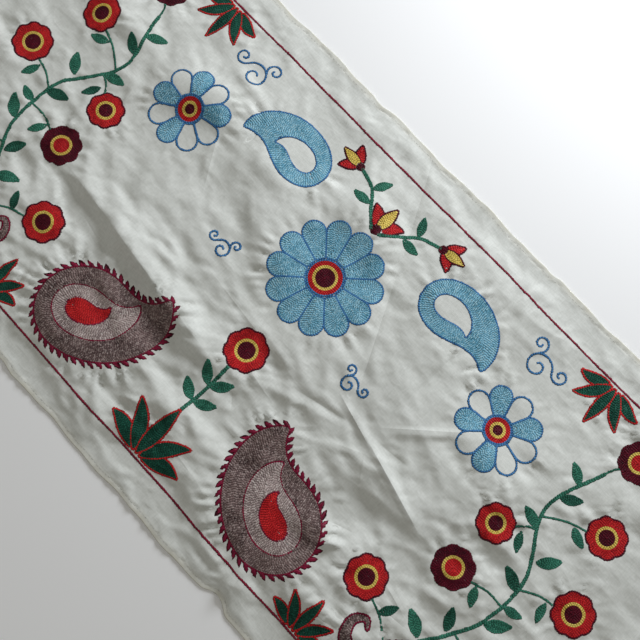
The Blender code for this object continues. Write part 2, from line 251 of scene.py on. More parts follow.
# Crumple of limp cotton, coarse to fine. Dents are drawn out by stretch along their heading, and
# crisp turns them from round to creased.
Crumple = namedtuple("Crumple", "size stretch heading height crisp")
CRUMPLES = (
    Crumple(0.052, 2.2, -16.0, 0.00300, 0.3),
    Crumple(0.026, 2.8, 7.0, 0.00240, 0.6),
    Crumple(0.023, 2.4, -38.0, 0.00190, 0.6),
    Crumple(0.014, 2.8, -8.0, 0.00100, 0.6),
    Crumple(0.0105, 2.0, 28.0, 0.00055, 0.5),
    Crumple(0.0075, 1.6, -15.0, 0.00024, 0.3),
)
CRUMPLE_SLACK = 1.15        # how much stronger the crumple is in the slack lower half
SLACK_FROM = 0.060          # between these two places across the cloth the slack grows
SLACK_TO = -0.060
CRUMPLE_LIFT = 0.0012       # keeps the dents of the flat parts above the floor

# Puckers that the pull of the stitching leaves around an embroidered shape
PUCKER_REACH = 0.028        # from the outline to where the puckers end
PUCKER_HEIGHT = 0.0044
PUCKER_PITCHES = (0.0088, 0.0123, 0.0171)   # from ridge to ridge along the outline
PUCKER_RISE = 0.0050        # run outside the stitching over which the puckers rise to their height
PUCKER_INSIDE = 0.18        # share of the puckers that the stitching itself shows
CRUMPLE_INSIDE = 0.55       # and of the crumple, since stitched cloth is stiffer
STITCH_EVENING = 0.7        # how far the stitching evens out the sharp bends under it
PUCKER_PATCH = 0.021        # how slowly the puckers' strength changes along an outline
FINE_BLEND = 0.020          # width at the edge over which crumple and puckers die out
EDGE_RUFFLES = ((0.00035, 0.0113), (0.00045, 0.0271))
RUFFLE_WIDTH = 0.016
RUFFLE_PATCH = 0.034

# Photo camera: a 45 mm lens on a 36 mm sensor, above the cloth and turned to its diagonal
CAMERA_LENS = 45.0
CAMERA_SENSOR = 36.0
CAMERA_PLACE = (0.1195, -0.0567, 0.8145)
CAMERA_TURN = (8.744, 0.018, 46.894)
FLOOR_SIZE = 6.0
FLOOR_DROP = 0.0002         # keeps the floor just clear of the cloth's flat underside


# The cloth's shape

def ease(share):
    """A smooth step from 0 to 1."""
    share = np.clip(share, 0.0, 1.0)
    return share * share * (3.0 - 2.0 * share)


def left_of(run):
    """Unit steps to the left of each run."""
    return np.column_stack((-run[:, 1], run[:, 0])) / np.maximum(np.hypot(*run.T), 1e-9)[:, None]


def waved(along, waves, phase=0.0):
    """Sum of waves given by size and length, never under 0."""
    return sum(size * (1.0 + np.sin(2.0 * math.pi * along / length + phase)) for size, length in waves)


def fold_height(fold, points):
    """Height that one fold adds at each point."""
    run = np.array(fold.end) - np.array(fold.start)
    length = np.hypot(*run)
    along = run / length
    left = np.array((-along[1], along[0]))
    place = np.clip((points - fold.start) @ along / length, 0.0, 1.0)
    offset = (points - fold.start) @ left - fold.bow * 4.0 * place * (1.0 - place)
    away = np.clip(np.abs(offset) / np.where(offset > 0.0, fold.high, fold.low), 0.0, 1.0)
    profile = (1.0 - fold.crisp) * (1.0 - away ** 2) ** 2 + fold.crisp * (1.0 - away) ** 2
    return fold.height * profile * ease(np.minimum(place, 1.0 - place) / FADE)


def edge_inset(points):
    """Distance of each point from the nearest edge of the straight cut."""
    return np.min(HALF - np.abs(points), axis=1)


def unevenness(points):
    """The slow waves of the field, flattened towards the edges."""
    height = np.full(len(points), FIELD_LIFT)
    for wave in WAVES:
        heading = math.radians(wave.heading)
        along = points @ np.array((math.cos(heading), math.sin(heading)))
        height += wave.height * np.sin(2.0 * math.pi * along / wave.length + wave.phase)
    return height * ease(edge_inset(points) / EDGE_FLAT)


def crumple(points):
    """Small dents and soft creases all over, from smooth noise."""
    height = np.zeros(len(points))
    for layer in CRUMPLES:
        heading = math.radians(layer.heading)
        along = points @ np.array((math.cos(heading), math.sin(heading))) / (layer.size * layer.stretch)
        across = points @ np.array((-math.sin(heading), math.cos(heading))) / layer.size
        dents = np.array([noise.noise((u, v, layer.size * 100.0)) for u, v in zip(along, across)])
        creased = 0.5 - 2.0 * np.sqrt(dents ** 2 + 0.0015)
        height += layer.height * ((1.0 - layer.crisp) * dents + layer.crisp * creased)
    slack = 1.0 + CRUMPLE_SLACK * ease((SLACK_FROM - points[:, 1]) / (SLACK_FROM - SLACK_TO))
    return height * slack


def nearest(points, others):
    """The index of the other point that is nearest to each point, and how far it is."""
    tree = kdtree.KDTree(len(others))
    for i, (x, y) in enumerate(others):
        tree.insert((x, y, 0.0), i)
    tree.balance()
    found = np.array([tree.find((x, y, 0.0))[1:] for x, y in points]).reshape(-1, 2)
    return found[:, 0].astype(int), found[:, 1]


def inside(points, outline):
    """Which points lie inside a closed outline."""
    result = np.zeros(len(points), bool)
    for (x1, y1), (x2, y2) in zip(outline, np.roll(outline, -1, axis=0)):
        if y1 != y2:
            crosses = (points[:, 1] < y1) != (points[:, 1] < y2)
            result ^= crosses & (points[:, 0] < x1 + (x2 - x1) * (points[:, 1] - y1) / (y2 - y1))
    return result


def puckers(points, outlines):
    """Fine ridges that run away from each outline, and how far each point is held by the stitching."""
    rng = np.random.default_rng(SEED)
    height = np.zeros(len(points))
    held = np.zeros(len(points))
    for outline, strength in outlines:
        low = outline.min(axis=0) - PUCKER_REACH
        high = outline.max(axis=0) + PUCKER_REACH
        near = np.flatnonzero(np.all((points > low) & (points < high), axis=1))
        phases = rng.uniform(0.0, 2.0 * math.pi, len(PUCKER_PITCHES) + 1)
        travel = np.concatenate(([0.0], np.cumsum(np.hypot(*np.diff(outline, axis=0).T))))
        index, distance = nearest(points[near], outline)
        along = travel[index]
        ridges = sum(np.sin(2.0 * math.pi * along / pitch + phase)
                     for pitch, phase in zip(PUCKER_PITCHES, phases)) / len(PUCKER_PITCHES)
        patchy = 0.6 + 0.4 * np.sin(along / PUCKER_PATCH + phases[-1])
        fall = np.clip(1.0 - distance / PUCKER_REACH, 0.0, 1.0) ** 1.6
        height[near] += PUCKER_HEIGHT * strength * ridges * patchy * fall
        beside = ease(1.0 - distance / PUCKER_RISE)
        held[near] = np.maximum(held[near], np.where(inside(points[near], outline), 1.0, beside))
    return height * (1.0 - (1.0 - PUCKER_INSIDE) * held), held


def edge_travel(points):
    """Place along the nearest side of the cloth."""
    inset_x, inset_y = (HALF - np.abs(points)).T
    return np.where(inset_y < inset_x, points[:, 0], points[:, 1])


def ruffles(points):
    """Slight waves that the hem's seam leaves at the edge."""
    travel = edge_travel(points)
    patchy = 0.5 + 0.5 * np.sin(travel / RUFFLE_PATCH)
    return waved(travel, EDGE_RUFFLES) * patchy * ease(1.0 - edge_inset(points) / RUFFLE_WIDTH)


def underside_height(points, outlines):
    """Height of the underside, and how far each point is held by the stitching."""
    height = unevenness(points) + sum(fold_height(fold, points) for fold in FOLDS) - SETTLE
    ridges, held = puckers(points, outlines)
    dents = crumple(points) * (1.0 - (1.0 - CRUMPLE_INSIDE) * held)
    fine = (dents + ridges + CRUMPLE_LIFT) * ease(edge_inset(points) / FINE_BLEND)
    eased = height ** 2 / (2.0 * SOFT_LANDING)
    height = np.where(height <= 0.0, 0.0, np.where(height < SOFT_LANDING, eased, height - SOFT_LANDING / 2.0))
    return np.maximum(height + fine + ruffles(points), 0.0), held


def evened(heights, held):
    """The grid of heights with the bends under the stitching drawn towards their neighbours."""
    for _ in range(2):
        around = sum(np.roll(heights, step, axis) for step in (-1, 1) for axis in (0, 1)) / 4
        heights = heights + STITCH_EVENING * held * (around - heights)
    return heights


def sheet_thickness(points):
    """Thickness of the cloth: a turned hem, dimples at its line of stitches, then single cloth."""
    inset = edge_inset(points)
    rolled = np.sqrt(np.clip(1.0 - (1.0 - np.clip(inset / HEM_ROLL, 0.0, 1.0)) ** 2, 0.16, 1.0))
    travel = edge_travel(points)
    patchy = np.clip(sum(np.sin(travel / pitch) for pitch in HEM_DIP_PITCHES), 0.0, 1.5)
    dip = HEM_DIP * patchy * np.exp(-((inset - HEM_STITCH_INSET) / HEM_DIP_WIDTH) ** 2)
    inner = ease((inset - HEM_STITCH_INSET) / (HEM_WIDTH + HEM_BLEND - HEM_STITCH_INSET))
    return HEM_THICKNESS * rolled * (1.0 - inner) + CLOTH_THICKNESS * inner - dip


def edge_wander(side, along):
    """How far the edge lies in from the straight cut at places along its side."""
    phase = {"low": 0.0, "high": 1.7, "left": 3.1, "right": 4.6}[side]
    inset = waved(along, EDGE_WAVES, phase)
    for notch in NOTCHES:
        if notch.side == side:
            nearness = np.clip(np.abs(along - notch.at) / notch.reach, 0.0, 1.0)
            inset = inset + notch.depth * (1.0 - nearness ** 2) ** 2
    return inset


def wandered(points):
    """The flat points moved in by the wandering of the edges near them."""
    x, y = points.T
    fade = {
        "low": ease(1.0 - (y + HALF[1]) / EDGE_BLEND),
        "high": ease(1.0 - (HALF[1] - y) / EDGE_BLEND),
        "left": ease(1.0 - (x + HALF[0]) / EDGE_BLEND),
        "right": ease(1.0 - (HALF[0] - x) / EDGE_BLEND),
    }
    moved_x = x + edge_wander("left", y) * fade["left"] - edge_wander("right", y) * fade["right"]
    moved_y = y + edge_wander("low", x) * fade["low"] - edge_wander("high", x) * fade["high"]
    return np.column_stack((moved_x, moved_y))


def grid_lines(half):
    """Places of the grid lines across the cloth: close together over the hems, even between them."""
    hem = half - np.array(HEM_LINES)
    count = round(2.0 * hem[-1] / GRID_STEP)
    inner = np.linspace(-hem[-1], hem[-1], count + 1)[1:-1]
    return np.concatenate((-hem, inner, hem[::-1]))


class Surface:
    """The cloth's top as heights over a grid of flat places, which the stitches are laid on."""

    def __init__(self, outlines):
        self.x = grid_lines(HALF[0])
        self.y = grid_lines(HALF[1])
        across, along = np.meshgrid(self.y, self.x)
        self.flat = np.column_stack((along.ravel(), across.ravel()))
        shape = (len(self.x), len(self.y))
        low, held = underside_height(self.flat, outlines)
        self.low = evened(low.reshape(shape), held.reshape(shape)).ravel()
        self.top = self.low + sheet_thickness(self.flat)
        self.heights = self.top.reshape(shape)

    def height(self, points):
        """Height of the top at flat points, straight between the grid's lines."""
        i = np.clip(np.searchsorted(self.x, points[:, 0]) - 1, 0, len(self.x) - 2)
        j = np.clip(np.searchsorted(self.y, points[:, 1]) - 1, 0, len(self.y) - 2)
        u = (points[:, 0] - self.x[i]) / (self.x[i + 1] - self.x[i])
        v = (points[:, 1] - self.y[j]) / (self.y[j + 1] - self.y[j])
        near = self.heights[i, j] * (1.0 - v) + self.heights[i, j + 1] * v
        far = self.heights[i + 1, j] * (1.0 - v) + self.heights[i + 1, j + 1] * v
        return near * (1.0 - u) + far * u


# Outlines of the motifs

def circle(radius):
    """A round outline, counter-clockwise."""
    count = max(12, round(2.0 * math.pi * radius / OUTLINE_STEP))
    turn = np.linspace(0.0, 2.0 * math.pi, count, endpoint=False)
    return radius * np.column_stack((np.cos(turn), np.sin(turn)))


def petal(inner, outer, spread):
    """A petal that points along +X, from one radius to another, with straight sides and a round tip."""
    root = outer / (1.0 + math.sin(spread))
    tip = root * math.sin(spread)
    reach = root * math.cos(spread)
    turn = np.linspace(-math.pi / 2 - spread, math.pi / 2 + spread, 24)
    bow = np.column_stack((root + tip * np.cos(turn), tip * np.sin(turn)))
    sides = np.linspace(-spread, spread, 7)
    base = inner * np.column_stack((np.cos(-sides), np.sin(-sides)))
    return np.concatenate((bow, base)) if reach > inner else bow


def along_spine(spine, half_widths):
    """A closed outline round a spine, from the half widths at its points."""
    side = left_of(np.gradient(spine, axis=0)) * half_widths[:, None]
    return np.concatenate((spine - side, (spine + side)[::-1]))


def curl(length, sweep, lateness, count=60):
    """A spine that leaves the origin along +Y and turns by sweep radians, mostly near its end."""
    t = np.linspace(0.0, 1.0, count)
    heading = math.pi / 2 + sweep * t ** lateness
    steps = np.column_stack((np.cos(heading), np.sin(heading))) * length / (count - 1)
    return np.concatenate(([[0.0, 0.0]], np.cumsum(steps[:-1], axis=0)))


def almond(length, width, sweep):
    """A paisley: a round foot at the origin and a tip that curls over."""
    spine = curl(length, sweep, 2.2)
    t = np.linspace(0.0, 1.0, len(spine))
    belly = 0.32
    foot = np.sqrt(np.clip(1.0 - ((belly - t) / belly) ** 2, 0.0, 1.0))
    taper = np.cos(np.clip((t - belly) / (1.0 - belly), 0.0, 1.0) * math.pi / 2) ** 0.9
    return along_spine(spine, width / 2 * np.where(t < belly, foot, taper))


def leaf(length, width, sweep):
    """A leaf from the origin along +Y, pointed at both ends."""
    spine = curl(length, sweep, 1.2, 30)
    t = np.linspace(0.0, 1.0, len(spine))
    return along_spine(spine, width / 2 * np.sin(math.pi * t ** 0.85) ** 0.9)


def smooth_path(knots, count=12):
    """A smooth curve through a few knots."""
    knots = np.array(knots, float)
    ends = np.concatenate(([2 * knots[0] - knots[1]], knots, [2 * knots[-1] - knots[-2]]))
    t = np.linspace(0.0, 1.0, count, endpoint=False)[:, None]
    runs = []
    for a, b, c, d in zip(ends[:-3], ends[1:-2], ends[2:-1], ends[3:]):
        bend = 2 * a - 5 * b + 4 * c - d
        runs.append(0.5 * (2 * b + (c - a) * t + bend * t ** 2 + (3 * b - a - 3 * c + d) * t ** 3))
    return np.concatenate(runs + [knots[-1:]])


def spiral(radius, turns):
    """A tendril that winds in to the origin."""
    t = np.linspace(0.0, 1.0, 48)
    turn = 2.0 * math.pi * turns * t
    return radius * ((1.0 - 0.82 * t) * np.array((np.cos(turn), np.sin(turn)))).T


def placed(points, at, turn=0.0, side=1):
    """Points turned by an angle in degrees, mirrored where side is -1, then moved to their place."""
    angle = math.radians(turn)
    spun = points @ np.array(((math.cos(angle), math.sin(angle)), (-math.sin(angle), math.cos(angle))))
    if side < 0:
        spun = (spun * (-1.0, 1.0))[::-1]
    return spun + at


# Rows of stitches

def resampled(points, step, closed):
    """Points evenly spaced along a path, about a step apart."""
    if closed:
        points = np.concatenate((points, points[:1]))
    lengths = np.hypot(*np.diff(points, axis=0).T)
    travel = np.concatenate(([0.0], np.cumsum(lengths)))
    count = max(1, round(travel[-1] / step))
    places = np.linspace(0.0, travel[-1], count + 1)
    if closed:
        places = places[:-1]
    return np.column_stack([np.interp(places, travel, column) for column in points.T])


def counter_clockwise(outline):
    """The outline in the order that has its inside on the left."""
    x, y = outline.T
    area = 0.5 * np.sum(x * np.roll(y, -1) - np.roll(x, -1) * y)
    return outline if area > 0.0 else outline[::-1]


def edge_of(outline):
    """An outline's points at an even spacing, and the unit step inwards from each."""
    edge = resampled(counter_clockwise(outline), OUTLINE_STEP, True)
    return edge, left_of(np.roll(edge, -1, axis=0) - np.roll(edge, 1, axis=0))


def grown(outline, reach):
    """An outline moved outwards."""
    edge, inward = edge_of(outline)
    return edge - inward * reach


def runs_of(kept):
    """Index runs of the kept points around a loop, and whether the whole loop is kept."""
    if kept.all():
        return [np.arange(len(kept))], True
    first = np.flatnonzero(~kept)[0]
    order = np.roll(np.arange(len(kept)), -first)
    breaks = np.flatnonzero(np.diff(kept[order].astype(int)) != 0) + 1
    return [part for part in np.split(order, breaks) if kept[part[0]]], False


def inset_rows(outline, first, gap, count=None, holes=()):
    """Rows that follow an outline inwards, as (points, closed), until they meet in its middle."""
    edge, inward = edge_of(outline)
    rows = []
    depth = first
    done = 0
    while count is None or done < count:
        moved = edge + inward * depth
        between = moved[:, None] - edge[None]
        away = np.hypot(between[..., 0], between[..., 1]).min(axis=1)
        kept = away > depth - ROW_SLACK
        if not kept.any():
            break
        for hole in holes:
            kept &= ~inside(moved, hole)
        if kept.any():
            runs, whole = runs_of(kept)
            rows += [(moved[part], whole) for part in runs if len(part) > 2]
        depth += gap
        done += 1
    return rows


class Needlework:
    """Collects the links of each thread: start, end and width of every loop on the flat cloth."""

    def __init__(self):
        self.links = {}
        self.pulls = []

    def row(self, thread, points, closed=False, link=LINE_LINK, width=LINE_WIDTH):
        """One row of chain stitch along a path."""
        stops = resampled(points, link, closed)
        if closed and len(stops) < 3:
            stops = points.mean(axis=0) + np.array(((-0.5, 0.0), (0.5, 0.0))) * link
            closed = False
        ends = np.roll(stops, -1, axis=0) if closed else stops[1:]
        starts = stops if closed else stops[:-1]
        widths = np.full(len(starts), width)
        self.links.setdefault(thread, []).append(np.column_stack((starts, ends, widths)))

    def fill(self, thread, outline, first=FILL_GAP / 2, count=None, holes=()):
        """Rows of a thread that fill an outline from its edge inwards."""
        rows = inset_rows(outline, first, FILL_GAP, count, holes)
        for points, closed in rows:
            self.row(thread, points, closed, FILL_LINK, FILL_WIDTH)
        if count is None and rows:
            links = np.concatenate(self.links[thread][-len(rows):])
            self.close_gaps(thread, outline, links, first, holes)

    def close_gaps(self, thread, outline, links, first, holes):
        """Single links in the bare spots that the rows of a fill leave where they meet."""
        low, high = outline.min(axis=0), outline.max(axis=0)
        step = FILL_GAP / 4
        x, y = np.meshgrid(np.arange(low[0], high[0], step), np.arange(low[1], high[1], step))
        spots = np.column_stack((x.ravel(), y.ravel()))
        spots = spots[inside(spots, outline)]
        for hole in holes:
            spots = spots[~inside(spots, hole)]
        starts, ends = links[:, 0:2], links[:, 2:4]
        laid = np.concatenate([starts + (ends - starts) * share for share in (0.0, 0.25, 0.5, 0.75, 1.0)])
        bounds = np.concatenate([resampled(edge, OUTLINE_STEP, True) for edge in (outline, *holes)])
        spots = spots[nearest(spots, laid)[1] > BARE_SPOT * FILL_GAP]
        index, distance = nearest(spots, bounds)
        run = np.roll(bounds, -1, axis=0) - np.roll(bounds, 1, axis=0)
        placed_links = []
        for spot, edge_index, edge_distance in zip(spots, index, distance):
            clear = all(np.hypot(*(spot - other)) > BARE_SPACING * FILL_GAP for other in placed_links)
            if edge_distance > BARE_MARGIN * first and clear:
                placed_links.append(spot)
                reach = run[edge_index] / max(np.hypot(*run[edge_index]), 1e-9) * FILL_LINK / 2
                self.row(thread, np.array((spot - reach, spot + reach)), False, FILL_LINK, FILL_WIDTH)

    def edge(self, thread, outline, holes=()):
        """A row of a thread on an outline, broken where it would cross a hole."""
        for points, closed in inset_rows(outline, 0.0, LINE_GAP, 1, holes):
            self.row(thread, points, closed)

    def pull(self, outline, strength=1.0, closed=True):
        """Says that the cloth puckers around an outline."""
        loop = resampled(outline, 2.0 * OUTLINE_STEP, closed)
        self.pulls.append((loop, strength))


# Motifs

def rosette(work, at, radius, petals, bare=1, turn=0.0):
    """A round flower of blue petals. Every bare-th petal is only outlined, or none where bare is 1."""
    inner = radius * 0.34
    spread = math.pi / petals * 0.98
    for i in range(petals):
        shape = placed(petal(inner, radius, spread), at, turn + 360.0 * i / petals)
        if bare == 1 or i % bare:
            work.fill("blue_light", shape, UNDER_EDGE)
        work.edge("blue_mid", shape)
    work.edge("blue_mid", placed(circle(inner * 0.90), at))
    heart = inner * 0.86
    work.fill("red", placed(circle(heart), at), FILL_GAP / 2, 3)
    work.fill("yellow", placed(circle(heart - 3 * FILL_GAP), at), FILL_GAP / 2, 2)
    work.fill("red_dark", placed(circle(max(heart - 5 * FILL_GAP, 0.0022)), at))
    work.pull(placed(circle(radius), at), 0.9)


def small_rosette(work, at, radius, turn, side):
    rosette(work, at, radius, 9, 2, turn * side)


def brown_paisley(work, at, length, turn, side):
    """A large almond in mauve brown, with a paler one in it and a saw-toothed burgundy edge."""
    width = length * 0.60
    sweep = -1.9
    body = placed(almond(length, width, sweep), at, turn, side)
    core_at = placed_point((0.0, length * 0.11), at, turn, side)
    core = placed(almond(length * 0.64, width * 0.56, sweep), core_at, turn, side)
    heart_at = placed_point((0.0, length * 0.20), at, turn, side)
    heart = placed(almond(length * 0.34, width * 0.26, sweep), heart_at, turn, side)
    work.fill("mauve", body, UNDER_EDGE, holes=(core,))
    work.fill("mauve_pale", core, UNDER_EDGE, holes=(heart,))
    work.fill("red", heart, UNDER_EDGE)
    for shape in (body, core, heart):
        work.edge("burgundy", shape)
    work.pull(grown(body, TOOTH_HEIGHT), 1.7)
    saw_teeth(work, body)


def saw_teeth(work, outline):
    """Small burgundy points that stand on an outline and lean along it."""
    feet = resampled(counter_clockwise(outline), TOOTH_STEP, True)
    run = np.roll(feet, -1, axis=0) - feet
    for lean, reach, width in TOOTH_LOOPS:
        tips = feet + run * lean - left_of(run) * TOOTH_HEIGHT * reach
        widths = np.full(len(feet), width * TOOTH_STEP)
        work.links.setdefault("burgundy", []).append(np.column_stack((tips, feet, widths)))


def placed_point(point, at, turn=0.0, side=1):
    return placed(np.array((point,)), at, turn, side)[0]


def blue_paisley(work, at, length, turn, side):
    """A blue almond with a bare eye in its foot."""
    body = placed(almond(length, length * 0.54, -1.7), at, turn, side)
    eye_at = placed_point((0.0, length * 0.13), at, turn, side)
    eye = placed(almond(length * 0.50, length * 0.24, -1.6), eye_at, turn, side)
    work.fill("blue_light", body, UNDER_EDGE, holes=(eye,))
    work.edge("blue_mid", body)
    work.edge("blue_mid", eye)
    work.pull(body, 1.0)


def leaf_tuft(work, at, height, turn=0.0, side=1):
    """Five dark green leaves in a fan that share a foot, each edged in red."""
    fan = ((0.0, 1.0, 0.0), (25.0, 0.88, 0.5), (-25.0, 0.88, -0.5), (52.0, 0.70, 0.8), (-52.0, 0.70, -0.8))
    laid = []
    for lean, share, sweep in fan:
        root = placed_point((-0.010 * math.sin(math.radians(lean)), -0.003), at, turn, side)
        blade = placed(placed(leaf(height * share, height * 0.25, sweep), (0.0, 0.0), lean), root, turn, side)
        work.fill("green_dark", blade, UNDER_EDGE, holes=laid)
        work.edge("red", blade, holes=laid)
        laid.append(blade)
        work.pull(blade, 0.9)


def flower_head(work, at, radius, dark_rim=False):
    """A round flower in rings: red, straw yellow, then dark red."""
    rim, heart = ("red_dark", "red") if dark_rim else ("red", "red_dark")
    lobes = 8
    turn = np.linspace(0.0, 2.0 * math.pi, 160, endpoint=False)
    wavy = radius * (0.90 + 0.12 * np.abs(np.cos(turn * lobes / 2)) ** 0.7)
    shape = np.column_stack((np.cos(turn), np.sin(turn))) * wavy[:, None] + at
    ring = placed(circle(radius * 0.55), at)
    middle = placed(circle(radius * 0.55 - 2 * FILL_GAP), at)
    work.fill(rim, shape, UNDER_EDGE, holes=(ring,))
    work.row(rim, placed(circle(radius * 0.55 + FILL_GAP / 2), at), True, FILL_LINK, FILL_WIDTH)
    work.edge("red_dark", shape)
    work.fill("yellow", ring, FILL_GAP / 2, 2)
    work.fill(heart, middle)
    work.pull(shape, 1.1)


def bud(work, at, height, turn, side=1):
    """A tulip bud: a straw yellow middle petal between two red ones on a dark red cup."""
    laid = [placed(circle(height * 0.17), at)]
    work.fill("red_dark", laid[0])
    for lean, thread, share in ((0.0, "yellow", 1.0), (30.0, "red", 0.90), (-30.0, "red", 0.90)):
        petal_shape = placed(leaf(height * share, height * 0.40, 0.02 * lean), (0.0, 0.0), lean)
        shape = placed(petal_shape, at, turn, side)
        work.fill(thread, shape, UNDER_EDGE, holes=laid)
        work.edge("red_dark", shape, holes=laid)
        laid.append(shape)


def stem(work, knots, rows=2):
    """A stem of rows that lie side by side."""
    path = smooth_path(knots)
    side = left_of(np.gradient(path, axis=0))
    for i in range(rows):
        offset = (i - (rows - 1) / 2) * LINE_GAP * 0.9
        work.row("green_leaf", path + side * offset)


def scroll(work, knots, thick):
    """A thick mauve-brown stem that thins out to its end, edged in burgundy."""
    path = resampled(smooth_path(knots), SCROLL_STEP, False)
    place = np.linspace(0.0, 1.0, len(path))
    shape = along_spine(path, thick / 2 * np.clip(1.0 - place, 0.0, 1.0) ** 0.7 + SCROLL_TIP)
    work.fill("mauve", shape, UNDER_EDGE)
    work.edge("burgundy", shape)
    work.pull(shape, 1.0)


def leaves(work, side, spots, threads=("green_leaf",)):
    """Single leaves that take the threads in turn."""
    for i, spot in enumerate(spots):
        blade = leaf(spot.size, spot.size * 0.42, 0.35)
        shape = placed(blade, mirrored(side, (spot.x, spot.y)), spot.turn, side)
        work.fill(threads[i % len(threads)], shape)
        work.pull(shape, 0.5)


def tendril(work, at, radius, turn, side=1):
    """A fine blue line that curls in at both ends, with a smaller curl beside it."""
    coil = spiral(radius, 1.35)
    work.row("blue_mid", placed(coil, at, turn, side))
    small = spiral(radius * 0.6, 1.25) * (-1.0, -1.0)
    for reach, lean in ((1.6, turn), (1.45, turn + 105.0)):
        root = placed_point((radius * reach, 0.0), at, lean, side)
        work.row("blue_mid", placed(small, root, lean, side))


# Layout: the same on both sides of the middle, with named columns. Turn is in degrees.
Spot = namedtuple("Spot", "x y size turn")
PAIRED_BROWN = (Spot(0.194, -0.150, 0.156, 84.0), Spot(0.642, -0.142, 0.150, 76.0))
PAIRED_BLUE = (Spot(0.080, 0.122, 0.112, -68.0), Spot(0.486, 0.088, 0.116, 22.0))
PAIRED_ROSETTES = (
    Spot(0.232, 0.082, 0.045, 8.0), Spot(0.630, 0.104, 0.050, 8.0), Spot(0.468, -0.070, 0.048, 0.0),
)
PAIRED_TUFTS = (
    Spot(0.232, -0.197, 0.044, 0.0), Spot(0.400, -0.196, 0.050, 0.0), Spot(0.488, -0.196, 0.046, 0.0),
    Spot(0.285, 0.196, 0.048, 180.0), Spot(0.560, 0.196, 0.054, 180.0), Spot(0.681, -0.020, 0.052, 90.0),
)
PAIRED_TENDRILS = (
    Spot(0.214, 0.158, 0.016, 20.0), Spot(0.418, 0.160, 0.015, 150.0), Spot(0.096, 0.004, 0.011, 20.0),
    Spot(0.560, 0.034, 0.014, 200.0),
)

PAIRED = (
    (brown_paisley, PAIRED_BROWN), (blue_paisley, PAIRED_BLUE), (small_rosette, PAIRED_ROSETTES),
    (leaf_tuft, PAIRED_TUFTS), (tendril, PAIRED_TENDRILS),
)

# The sprig of buds beside the middle rosette, its leaves and those of the stem below the rosette
SPRIG = ((0.004, 0.131), (0.020, 0.146), (0.036, 0.163), (0.060, 0.172))
SPRIG_LEAVES = (Spot(0.025, 0.150, 0.024, -100.0), Spot(0.034, 0.163, 0.023, 18.0))
STEM_LEAVES = (Spot(0.001, -0.100, 0.027, -52.0), Spot(0.001, -0.122, 0.026, -66.0))

# The climbing vine: its thick root and the root's two scrolls, its knots, then flower heads and leaves
ROOT = ((0.286, -0.193), (0.291, -0.170), (0.304, -0.145), (0.320, -0.122))
ROOT_SCROLLS = (
    ((0.279, -0.172), (0.267, -0.162), (0.264, -0.148), (0.273, -0.139), (0.281, -0.146)),
    ((0.306, -0.160), (0.322, -0.166), (0.335, -0.158), (0.333, -0.144), (0.322, -0.143)),
)
VINE = ((0.3195, -0.1225), (0.338, -0.092), (0.352, -0.056), (0.352, 0.000), (0.318, 0.062), (0.336, 0.130))
Branch = namedtuple("Branch", "root head radius dark")
BRANCHES = (
    Branch((0.298, -0.141), (0.244, -0.112), 0.0215, False),
    Branch((0.340, -0.086), (0.396, -0.112), 0.0210, True),
    Branch((0.355, -0.012), (0.408, 0.010), 0.0215, False),
    Branch((0.354, -0.036), (0.296, -0.044), 0.0210, True),
    Branch((0.321, 0.054), (0.380, 0.086), 0.0205, False),
    Branch((0.336, 0.130), (0.352, 0.162), 0.0205, True),
    Branch((0.3275, 0.041), (0.294, 0.016), 0.0195, False),
)
VINE_LEAVES = (
    Spot(0.276, -0.127, 0.022, -38.0), Spot(0.318, -0.130, 0.026, -75.0), Spot(0.320, -0.116, 0.030, 52.0),
    Spot(0.334, -0.092, 0.026, 20.0), Spot(0.353, -0.060, 0.030, -58.0), Spot(0.355, -0.034, 0.022, -84.0),
    Spot(0.355, -0.016, 0.028, 58.0), Spot(0.348, 0.018, 0.028, -50.0), Spot(0.326, 0.042, 0.026, 66.0),
    Spot(0.320, 0.080, 0.026, -62.0), Spot(0.326, 0.102, 0.025, 48.0), Spot(0.382, -0.002, 0.022, -170.0),
    Spot(0.372, -0.102, 0.025, -20.0), Spot(0.324, -0.040, 0.022, 200.0), Spot(0.350, 0.070, 0.024, -120.0),
    Spot(0.318, 0.029, 0.022, 200.0),
)


def mirrored(side, places):
    """Places as they are, or on the other side of the middle where side is -1."""
    return np.array(places) * (side, 1.0)


def middle_group(work):
    """The rosette in the middle, the plants under it and the short vines beside it."""
    rosette(work, (0.0, 0.062), 0.062, 12)
    leaf_tuft(work, (0.0, -0.196), 0.064)
    stem(work, ((0.0, -0.136), (0.001, -0.100), (0.0, -0.072)))
    flower_head(work, (0.0, -0.048), 0.0225)
    for side in (-1, 1):
        leaves(work, side, STEM_LEAVES)
        stem(work, mirrored(side, SPRIG))
        bud(work, mirrored(side, (0.062, 0.172)), 0.028, -84.0, side)
        leaves(work, side, SPRIG_LEAVES)
    bud(work, (0.0, 0.134), 0.034, 0.0)


def vine(work, side):
    """A climbing vine with a scrolled root and round flower heads on short branches."""
    scroll(work, mirrored(side, ROOT), 0.020)
    for knots in ROOT_SCROLLS:
        scroll(work, mirrored(side, knots), 0.011)
    stem(work, mirrored(side, VINE))
    for branch in BRANCHES:
        root, head = mirrored(side, (branch.root, branch.head))
        foot = head + (root - head) * branch.radius / np.hypot(*(root - head))
        stem(work, (root, (root + foot) / 2 + (0.0, 0.003), foot), rows=1)
        flower_head(work, head, branch.radius, branch.dark)
    leaves(work, side, VINE_LEAVES, ("green_leaf_dark", "green_leaf", "green_leaf"))


def corners(inset):
    """The four corners of a line that lies in from the edge."""
    return np.array(((-1, -1), (1, -1), (1, 1), (-1, 1))) * (HALF - inset)


